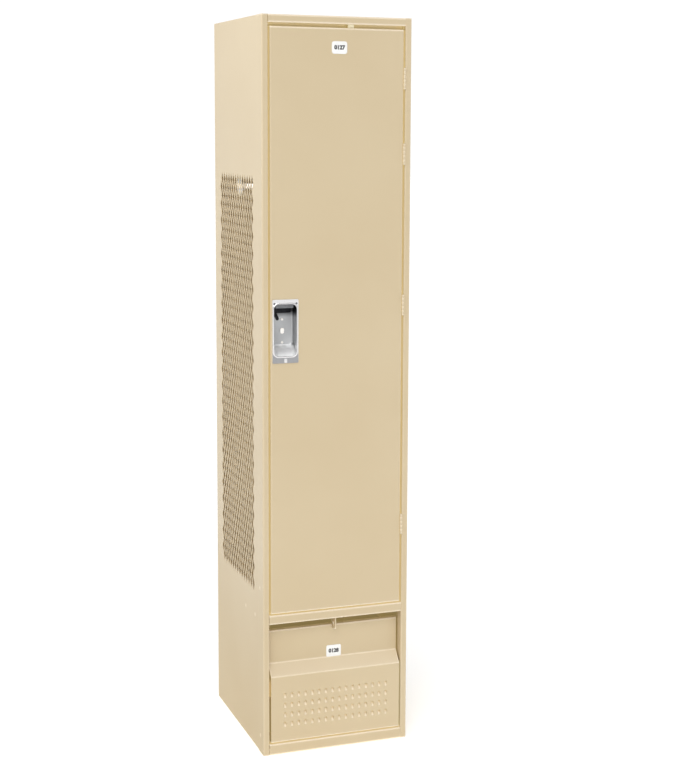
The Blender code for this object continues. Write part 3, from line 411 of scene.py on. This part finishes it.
def tan_powder_coat(name, bend, lean):
    """Powder coat baked on steel: a satin tan skin with a fine orange peel, painted highlights along its
    bends and painted bounce light in its gaps. The painted highlights reach as far as bend from an edge, and
    lean is how much paler a leaning face is painted, as a painted reflection."""
    # The emission colour is that of the painted bounce light.
    finish, tree, shader, place = new_finish(name, Roughness=0.34, Emission_Color=linear("FFF0AC"))
    parts = add(tree, "ShaderNodeSeparateXYZ", links={"Vector": place})
    face = add(tree, "ShaderNodeNewGeometry").outputs["Normal"]
    drift = add(tree, "ShaderNodeTexNoise", values={"Scale": 1 / 0.3, "Detail": 2}, links={"Vector": place})
    colour = add(tree, "ShaderNodeValToRGB", links={"Fac": drift.outputs["Fac"]},
                 stops=((0.35, "CDBA97"), (0.65, "D0BE9C")))
    # Painted reflection: faces that lean back towards the ceiling are painted paler, for the ceiling's light
    # that they mirror.
    leaning = add(tree, "ShaderNodeSeparateXYZ", links={"Vector": face})
    pale = add(tree, "ShaderNodeMapRange",
               values={"From Min": 0.25, "From Max": 0.7, "To Min": 0, "To Max": lean},
               links={"Value": leaning.outputs["Z"]})
    # Each dent of a spot weld gets a pale painted glint.
    dents = weld_dents(tree, place)
    painted_glint = add(tree, "ShaderNodeMapRange", values={"To Min": 0.4, "To Max": 0}, links={"Value": dents})
    # Painted light of the coat: the painted highlights along bends, the painted reflection on leaning faces
    # and the painted glints in the weld dents are mixed into the base colour as a pale cream.
    painted_light = painted_bend_highlights(tree, bend, face)
    for share in (pale.outputs["Result"], painted_glint.outputs["Result"]):
        stronger = add(tree, "ShaderNodeMath", settings={"operation": "MAXIMUM"},
                       links={0: painted_light, 1: share})
        painted_light = stronger.outputs["Value"]
    painted_light_colour = add(tree, "ShaderNodeMix", settings={"data_type": "RGBA"}, values={"B": linear("FFF2DE")},
                links={"Factor": painted_light, "A": colour.outputs["Color"]})
    tree.links.new(painted_light_colour.outputs["Result"], shader.inputs["Base Color"])
    # The peel of real powder coat is about 1.5 mm across, and is drawn at 3 mm so that it shows.
    peel = add(tree, "ShaderNodeTexNoise", values={"Scale": 1 / 0.003, "Detail": 1}, links={"Vector": place})
    spread = add(tree, "ShaderNodeMapRange", values={"To Min": 0.29, "To Max": 0.4},
                 links={"Value": peel.outputs["Fac"]})
    # Shoes and mops have left the coat duller near the floor.
    scuffs = add(tree, "ShaderNodeMapRange",
                 values={"From Min": 0.1, "From Max": 0.5, "To Min": 0.35, "To Max": 0},
                 links={"Value": parts.outputs["Z"]})
    gloss = add(tree, "ShaderNodeMath", settings={"operation": "ADD"},
                links={0: spread.outputs["Result"], 1: scuffs.outputs["Result"]})
    tree.links.new(gloss.outputs["Value"], shader.inputs["Roughness"])
    bump = add(tree, "ShaderNodeBump", values={"Strength": 0.15, "Distance": 0.0002},
               links={"Height": peel.outputs["Fac"]})
    dented = add(tree, "ShaderNodeBump", values={"Strength": 0.8, "Distance": 0.0008},
                 links={"Height": dents, "Normal": bump.outputs["Normal"]})
    tree.links.new(dented.outputs["Normal"], shader.inputs["Normal"])
    tree.links.new(painted_bounce_light(tree, parts), shader.inputs["Emission Strength"])
    return finish


def brushed_stainless(name, code, softness=0.2):
    """Stainless steel sheet brushed upright: bright and a little soft, with fine upright streaks."""
    finish, tree, shader, place = new_finish(name, Metallic=1, Roughness=0.3, Base_Color=linear(code))
    # The brush lines are a tenth of a millimetre apart, and are drawn at 1 mm, 25 mm long, so that they show.
    stretch = add(tree, "ShaderNodeMapping", values={"Scale": (1000, 1000, 40)}, links={"Vector": place})
    lines = add(tree, "ShaderNodeTexNoise", values={"Scale": 1, "Detail": 3},
                links={"Vector": stretch.outputs["Vector"]})
    spread = add(tree, "ShaderNodeMapRange", values={"To Min": softness, "To Max": softness + 0.2},
                 links={"Value": lines.outputs["Fac"]})
    tree.links.new(spread.outputs["Result"], shader.inputs["Roughness"])
    bump = add(tree, "ShaderNodeBump", values={"Strength": 0.06, "Distance": 0.0002},
               links={"Height": lines.outputs["Fac"]})
    tree.links.new(bump.outputs["Normal"], shader.inputs["Normal"])
    return finish


def drawn_stainless():
    """The drawn well of the handle, with painted light: greyer than the flange as a painted reflection of its
    darker surroundings, almost black with painted shade at its top, and white with a painted highlight on its
    sloping floor.
    """
    finish = brushed_stainless("drawn_stainless", "B4B5B6", 0.36)
    tree, shader, place = open_finish(finish)
    parts = add(tree, "ShaderNodeSeparateXYZ", links={"Vector": place})
    height = add(tree, "ShaderNodeMapRange", values={"From Min": MOUTH_BOTTOM, "From Max": MOUTH_TOP + 0.001},
                 links={"Value": parts.outputs["Z"]})
    # Painted light by height: a white painted highlight on the floor, grey in the middle, near-black painted
    # shade below the top and a paler top rim.
    colour = add(tree, "ShaderNodeValToRGB", links={"Fac": height.outputs["Result"]},
                 stops=((0.17, "FFFFFF"), (0.21, "C6C7C8"), (0.72, "BEBFC0"),
                        (0.84, "3A3A3B"), (0.95, "434344"), (1, "A4A4A6")))
    tree.links.new(colour.outputs["Color"], shader.inputs["Base Color"])
    return finish


def bright_zinc(name, painted_glow, tint="FFF4E4"):
    """Zinc plate on steel: a cool bright metal with a faintly clouded gloss. It also gives off painted light
    of the given tint and strength, an emission that stands for bounce light and highlights.
    """
    finish, *parts = new_finish(name, Metallic=1, Roughness=0.3,
                                Emission_Color=linear(tint), Emission_Strength=painted_glow)
    mottle(*parts, 0.006, 3, ((0.3, "B6B8BA"), (0.7, "C8CACC")), roughness=(0.22, 0.38))
    return finish


def rod_zinc(name, under, painted_glow):
    """The coat rod's zinc with a painted highlight: an emission that is bright in a band along its middle,
    dim beneath and dark above, standing for the studio's light that reaches it through the diamonds.
    """
    finish = bright_zinc(name, painted_glow)
    tree, shader, place = open_finish(finish)
    parts = add(tree, "ShaderNodeSeparateXYZ", links={"Vector": place})
    height = add(tree, "ShaderNodeMapRange",
                 values={"From Min": ROD_HEIGHT - ROD_BAND, "From Max": ROD_HEIGHT + ROD_BAND},
                 links={"Value": parts.outputs["Z"]})
    # Painted light by height: the given colour beneath, a near-white painted highlight in the band, and
    # painted shade above it.
    colour = add(tree, "ShaderNodeValToRGB", links={"Fac": height.outputs["Result"]},
                 stops=((0.38, under), (0.44, "FFF6EE"), (0.58, "FFF6EE"), (0.64, "2A2A2A")))
    tree.links.new(colour.outputs["Color"], shader.inputs["Emission Color"])
    return finish


def cover_zinc():
    """The plate over the lock hole: a painted upright white highlight, an emission, lies down its middle."""
    finish = bright_zinc("cover_zinc", 0.5)
    tree, shader, place = open_finish(finish)
    low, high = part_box("lock_hole_cover")
    parts = add(tree, "ShaderNodeSeparateXYZ", links={"Vector": place})
    aside = add(tree, "ShaderNodeMath", settings={"operation": "SUBTRACT"}, values={1: (low.x + high.x) / 2},
                links={0: parts.outputs["X"]})
    away = add(tree, "ShaderNodeMath", settings={"operation": "ABSOLUTE"}, links={0: aside.outputs["Value"]})
    painted_glint = add(tree, "ShaderNodeMapRange",
                values={"From Min": 0.0035, "From Max": 0.0055, "To Min": 0.5, "To Max": 0.02},
                links={"Value": away.outputs["Value"]})
    tree.links.new(painted_glint.outputs["Result"], shader.inputs["Emission Strength"])
    return finish


def white_enamel():
    """Baked white enamel on a number plate: smooth, glossy and barely rippled."""
    finish, *parts = new_finish("white_enamel", Roughness=0.25)
    mottle(*parts, 0.008, 1, ((0.3, "F1F1EE"), (0.7, "F7F7F5")), relief=0.1)
    return finish


def stamped_ink():
    """Grey-black printing ink: matt, and a little uneven where it lies thin."""
    finish, *parts = new_finish("stamped_ink", Roughness=0.7)
    mottle(*parts, 0.0015, 2, ((0.35, "2B2B2D"), (0.75, "4A4A4D")))
    return finish


def oiled_steel(name, deep, rubbed):
    """Oiled dark steel: a grey metal that is rubbed a little brighter and smoother in places."""
    finish, *parts = new_finish(name, Metallic=1, Roughness=0.4)
    mottle(*parts, 0.007, 4, ((0.35, deep), (0.7, rubbed)), roughness=(0.5, 0.3))
    return finish


def moulded_rubber():
    """Moulded beige rubber: matt, with the fine grain of its mould."""
    finish, *parts = new_finish("moulded_rubber", Roughness=0.75)
    mottle(*parts, 0.001, 2, ((0.3, "DCCFAC"), (0.7, "E5DAB9")), relief=0.3)
    return finish


def studio_paper():
    """Matt white background paper with the faintest tooth. It glows a little, which thins the shadows."""
    finish, *parts = new_finish("studio_paper", Roughness=0.9,
                                Emission_Color=(1, 1, 1, 1), Emission_Strength=0.2)
    mottle(*parts, 0.02, 2, ((0.3, "FCFCFC"), (0.7, "FDFDFD")))
    return finish


# Cabinet

def mesh_side(name, node, way, enamel):
    """A side sheet with its field of diamond openings at their real spacing: a grid that is turned by
    45 degrees, stretched to twice its height, stood up, cut to the sheet's size and opened cell by cell."""
    low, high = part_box(node)
    outside = low.x if way < 0 else high.x
    deselect()
    bpy.ops.mesh.primitive_grid_add(x_subdivisions=GRID_CELLS, y_subdivisions=GRID_CELLS,
                                    size=GRID_CELLS * DIAMOND_PITCH / math.sqrt(2))
    obj = bpy.context.object
    obj.name = name
    obj.rotation_euler = (0, 0, math.pi / 4)
    settle(obj)
    obj.scale = (1, 2, 1)
    settle(obj)
    obj.rotation_euler = (math.pi / 2, 0, math.pi / 2)
    obj.location = (outside, FIELD_MIDDLE_Y - DIAMOND_PITCH / 4, FIELD_MIDDLE_Z)
    settle(obj)
    edit(obj)
    for place, normal in (
        ((outside, low.y, 0), (0, -1, 0)),
        ((outside, high.y, 0), (0, 1, 0)),
        ((outside, 0, low.z), (0, 0, -1)),
        ((outside, 0, high.z), (0, 0, 1)),
    ):
        bpy.ops.mesh.select_all(action="SELECT")
        bpy.ops.mesh.bisect(plane_co=place, plane_no=normal, clear_outer=True, threshold=0.00001)
    # The cells that the sheet's edges cut are smaller than a whole one, and stay closed.
    whole = DIAMOND_PITCH * DIAMOND_PITCH
    margin = 0.001

    def in_field(face):
        across = abs(face.center.y - FIELD_MIDDLE_Y) + DIAMOND_PITCH / 2
        up = abs(face.center.z - FIELD_MIDDLE_Z) + DIAMOND_PITCH
        return (face.area > 0.99 * whole and across < FIELD_HALF_DEPTH + margin
                and up < FIELD_HALF_HEIGHT + margin)

    pick_faces(obj, in_field)
    bpy.ops.mesh.inset(thickness=STRAND_HALF, use_individual=True, use_even_offset=True)
    bpy.ops.mesh.delete(type="FACE")
    modify(obj, "SOLIDIFY", thickness=SHEET, offset=-way)
    dress(obj, enamel, "cabinet", "tan_enamel", node)


# Drawer

def vent_scoops(enamel):
    """The pressed rims of the drawer's vents, each sloping in and up to a small opening."""
    first = (
        door_low.x + VENT_SIDE_MARGIN,
        FRONT - VENT_PROUD,
        VENT_MIDDLE_Z - (VENT_ROWS - 1) / 2 * VENT_PITCH_Z,
    )
    obj = outline("vent_scoops", first, VENT_WIDTH + 2 * VENT_RIM, VENT_HEIGHT + 2 * VENT_RIM,
                  VENT_WIDTH / 2 + VENT_RIM, 5)
    sink((VENT_RIM + 0.0002, 0), (0.0004, -0.0003), (0.0010, -0.0065))
    # The innermost edge is squeezed to a low slit and lifted.
    bpy.ops.transform.resize(value=(1, 1, 0.12))
    bpy.ops.transform.translate(value=(0, 0, 0.0041))
    bpy.ops.mesh.delete(type="FACE")
    modify(obj, "SOLIDIFY", thickness=0.0006, offset=-1)
    for count, offset in ((VENT_COLUMNS, (VENT_PITCH_X, 0, 0)), (VENT_ROWS, (0, 0, VENT_PITCH_Z))):
        modify(obj, "ARRAY", count=count, use_relative_offset=False, use_constant_offset=True,
               constant_offset_displace=offset)
    smooth(obj, 60)
    dress(obj, enamel, "drawer", "tan_enamel")


# Handle

def handle_cup(polished, drawn, painted_shadow):
    """The stainless handle: a flange, a raised bead round the mouth, and the drawn well behind it."""
    obj = outline("handle_cup", (HANDLE_MIDDLE, FLANGE_FACE, MOUTH_TOP - MOUTH_HEIGHT / 2),
                  MOUTH_WIDTH + 2 * BEAD, MOUTH_HEIGHT + 2 * BEAD, MOUTH_RADIUS + BEAD, 8)
    sink(*BEAD_AND_WELL)
    # The lower edge of the well's back is lifted, so that the floor slopes up to it.
    pick_faces(obj, lambda face: face.center.y > FRONT + 0.019 and face.center.z < MOUTH_BOTTOM + 0.0065)
    bpy.ops.transform.translate(value=(0, 0, 0.021))
    flange = outline("flange", (HANDLE_MIDDLE, FLANGE_FACE, (pocket_low.z + pocket_high.z) / 2),
                     pocket_high.x - pocket_low.x, pocket_high.z - pocket_low.z, FLANGE_RADIUS, 8)
    bpy.ops.mesh.delete(type="ONLY_FACE")
    choose(obj, flange)
    bpy.ops.object.join()
    edit(obj)
    pick_border()
    bpy.ops.mesh.bridge_edge_loops()
    turn_outwards()
    modify(obj, "SOLIDIFY", thickness=0.0011, offset=-1)
    for centre, width, height, radius, reach, lean in WELL_HOLES:
        cutter = outline("cutter", centre, width, height, radius, 4)
        bpy.ops.transform.rotate(value=math.radians(lean), orient_axis="Y", center_override=centre)
        extrude(reach)
        turn_outwards()
        modify(obj, "BOOLEAN", operation="DIFFERENCE", solver="EXACT", object=cutter)
        bpy.data.objects.remove(cutter, do_unlink=True)
    smooth(obj, 40)
    dress(obj, polished, "door", "stainless_steel", "handle_pocket")
    # The well is drawn steel with painted light, and the foot of the flange is painted darker for the shadow
    # that the bead casts on it.
    obj.data.materials.append(drawn)
    obj.data.materials.append(painted_shadow)
    for face in obj.data.polygons:
        if face.center.y > FRONT + 0.001:
            face.material_index = 1
        elif face.center.y > FLANGE_FACE - 0.0004 and face.center.z < pocket_low.z + 0.014:
            face.material_index = 2


def handle_tab(polished):
    """The small rounded tab at the foot of the flange."""
    tab = outline("handle_tab", (HANDLE_MIDDLE + 0.0005, FLANGE_FACE + 0.0002, pocket_low.z + 0.0062),
                  0.008, 0.0105, 0.002, 4)
    sink((0.0001, 0.0006), (0.0008, 0.0006), (0.0010, 0.0002))
    smooth(tab, 60)
    dress(tab, polished, "door", "stainless_steel")


def handle_shade_plate(dark):
    """The dark plate behind the holes at the top of the well: painted shade, a dark sheet standing in for the
    shade seen through them.
    """
    plate = outline("handle_shade_plate", (HANDLE_MIDDLE - 0.002, WELL_BACK + 0.0056, MOUTH_TOP - 0.0265),
                    0.052, 0.048, 0.002, 4)
    extrude(0.0005)
    turn_outwards()
    dress(plate, dark, "door", "dark_steel")


# Number plates

def number_plate(name, node, body, radius, number, white, ink):
    """An enamelled plate with a rolled edge, and its printed number."""
    low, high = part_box(node)
    thick = high.y - low.y
    middle_x = (low.x + high.x) / 2
    middle_z = (low.z + high.z) / 2
    plate = outline(name, (middle_x, high.y, middle_z), high.x - low.x, high.z - low.z, radius, 6)
    extrude(-thick * 0.6)
    sink((0.0002, thick * 0.25), (0.0006, thick * 0.15))
    smooth(plate, 50)
    dress(plate, white, body, "white_plate", node)
    deselect()
    bpy.ops.object.text_add(rotation=(math.pi / 2, 0, 0))
    text = bpy.context.object
    text.name = name + "_digits"
    text.data.body = number
    text.data.align_x = "CENTER"
    text.data.align_y = "CENTER"
    text.data.size = 0.0132
    text.data.offset = 0.0008
    text.data.extrude = 0.00003
    text.data.resolution_u = 4
    choose(text)
    bpy.ops.object.convert(target="MESH")
    digits = bpy.context.object
    digits.location = (middle_x, low.y - DIGITS_PROUD, middle_z)
    settle(digits)
    edit(digits)
    bpy.ops.mesh.remove_doubles(threshold=MERGE)
    dress(digits, ink, body, "white_plate")


# Light, floor and camera

def aim(lamp, towards_lamp):
    """Turns a lamp so that it shines from the given direction."""
    lamp.rotation_euler = Vector(towards_lamp).to_track_quat("Z", "Y").to_euler()


def white_sky():
    """A white sky that is dimmer in front of the locker than behind it, and plain white to the eye."""
    behind = (0.36, 0.93, 0)
    dim = 0.57
    bright = 1.04
    world = bpy.data.worlds.new("studio")
    bpy.context.scene.world = world
    world.use_nodes = True
    tree = world.node_tree
    direction = add(tree, "ShaderNodeTexCoord").outputs["Generated"]
    towards = add(tree, "ShaderNodeVectorMath", settings={"operation": "DOT_PRODUCT"}, values={1: behind},
                  links={0: direction})
    strength = add(tree, "ShaderNodeMapRange",
                   values={"From Min": 0.6, "From Max": 0.88, "To Min": dim, "To Max": bright},
                   links={"Value": towards.outputs["Value"]})
    seen = add(tree, "ShaderNodeLightPath").outputs["Is Camera Ray"]
    white = add(tree, "ShaderNodeMath", settings={"operation": "MULTIPLY"},
                values={1: bright}, links={0: seen})
    brighter = add(tree, "ShaderNodeMath", settings={"operation": "MAXIMUM"},
                   links={0: strength.outputs["Result"], 1: white.outputs["Value"]})
    background = tree.nodes["Background"]
    background.inputs["Color"].default_value = (1, 1, 1, 1)
    tree.links.new(brighter.outputs["Value"], background.inputs["Strength"])


def studio(paper):
    """The white sky, a wide soft sun from high in front, a lamp at the left and the floor."""
    white_sky()
    deselect()
    bpy.ops.object.light_add(type="SUN", location=(-2, -5, 6))
    sun = bpy.context.object
    sun.name = "key"
    sun.data.energy = 1.3
    sun.data.angle = math.radians(30)
    aim(sun, (-0.2, -0.62, 0.76))
    deselect()
    bpy.ops.object.light_add(type="AREA", location=(-1.6, -0.2, 2.6))
    side = bpy.context.object
    side.name = "side_lamp"
    side.data.shape = "SQUARE"
    side.data.size = 0.8
    side.data.energy = 13
    aim(side, (-2.4, 0.6, 1.3))
    deselect()
    bpy.ops.mesh.primitive_plane_add(size=80)
    floor = bpy.context.object
    floor.name = "floor"
    floor.data.materials.append(paper)
    view = bpy.context.scene.view_settings
    view.view_transform = "Standard"
    view.look = "None"


def camera():
    """The photograph's own view, worked out from the locker's corners in it."""
    yaw, pitch, roll = 0.36608, -0.12903, 0.00809
    ahead = Vector((math.sin(yaw) * math.cos(pitch), math.cos(yaw) * math.cos(pitch), math.sin(pitch)))
    right = Vector((math.cos(yaw), -math.sin(yaw), 0))
    up = right.cross(ahead)
    turned_right = right * math.cos(roll) + up * math.sin(roll)
    turned_up = up * math.cos(roll) - right * math.sin(roll)
    deselect()
    bpy.ops.object.camera_add(location=(-1.24467, -3.90375, 1.57591))
    eye = bpy.context.object
    eye.rotation_euler = Matrix((turned_right, turned_up, -ahead)).transposed().to_euler()
    eye.data.sensor_width = 36
    eye.data.lens = FOCAL_LENGTH * eye.data.sensor_width / PHOTO_HEIGHT
    eye.data.shift_x = (PHOTO_WIDTH / 2 - CENTRE_X) / PHOTO_HEIGHT
    eye.data.shift_y = (CENTRE_Y - PHOTO_HEIGHT / 2) / PHOTO_HEIGHT
    eye.data.clip_end = 200
    bpy.context.scene.camera = eye


# The whole scene

deselect()
white = white_enamel()
polished = brushed_stainless("brushed_stainless", "EEEDED")
finishes = {
    "tan_enamel": tan_powder_coat("tan_powder_coat", BEND_HIGHLIGHT_REACH, 0.2),
    "stainless_steel": polished,
    # The zinc glows faintly golden: painted bounce light.
    "zinc_plate": bright_zinc("bright_zinc", 0.03, "FFDF9A"),
    "white_plate": white,
    "dark_steel": oiled_steel("oiled_steel", "77787A", "8D8E90"),
    "beige_rubber": moulded_rubber(),
}
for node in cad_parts.values():
    for material_slot in node.material_slots:
        material_slot.material = finishes[material_slot.material.name.split(".")[0]]

# Nodes that look unlike the rest of their slot. The coat rod and its sockets get a painted highlight, an
# emission standing for the white studio that they mirror through the diamonds, so they show far brighter than
# their dim surroundings. The lock screws and the lock hole's cover glow with painted highlights, and the
# runners glow golden with painted bounce light. The rivets are a darker steel.
socket_zinc = rod_zinc("socket_zinc", "868489", 0.6)
screw_zinc = bright_zinc("screw_zinc", 0.45)
rivet_steel = brushed_stainless("rivet_steel", "7E7E80")
runner_zinc = bright_zinc("runner_zinc", 0.3, "F2C67A")
for finish, names in (
    (rod_zinc("rod_zinc", "4C4C4C", 1.5), ("coat_rod",)),
    (socket_zinc, ("coat_rod_socket_left", "coat_rod_socket_right")),
    (screw_zinc, ("lock_screw_lower", "lock_screw_upper")),
    (cover_zinc(), ("lock_hole_cover",)),
    (rivet_steel, ("handle_rivet_left", "handle_rivet_right")),
    (runner_zinc, ("runner_bracket_left", "cabinet_runner_left", "middle_runner_left", "drawer_runner_left")),
    (runner_zinc, ("runner_bracket_right", "cabinet_runner_right", "middle_runner_right",
                   "drawer_runner_right")),
):
    for name in names:
        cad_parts[name].material_slots[0].material = finish

# The fine pieces, whose leaning faces are painted paler than the cabinet's: a stronger painted reflection,
# strongest on the vents' lips
mesh_coat = tan_powder_coat("tan_mesh_coat", NO_BEND_HIGHLIGHT, 0.24)
mesh_side("left_mesh_side", "left_side_panel", -1, mesh_coat)
mesh_side("right_mesh_side", "right_side_panel", 1, mesh_coat)
vent_scoops(tan_powder_coat("tan_scoop_coat", NO_BEND_HIGHLIGHT, 0.8))
handle_cup(polished, drawn_stainless(), brushed_stainless("stainless_painted_shadow", "A9A9AB"))
handle_tab(polished)
handle_shade_plate(oiled_steel("shaded_steel", "262628", "303032"))
ink = stamped_ink()
number_plate("door_plate", "door_number_plate", "door", 0.006, "0127", white, ink)
number_plate("drawer_plate", "drawer_number_plate", "drawer", 0.004, "0128", white, ink)
studio(studio_paper())
camera()
deselect()
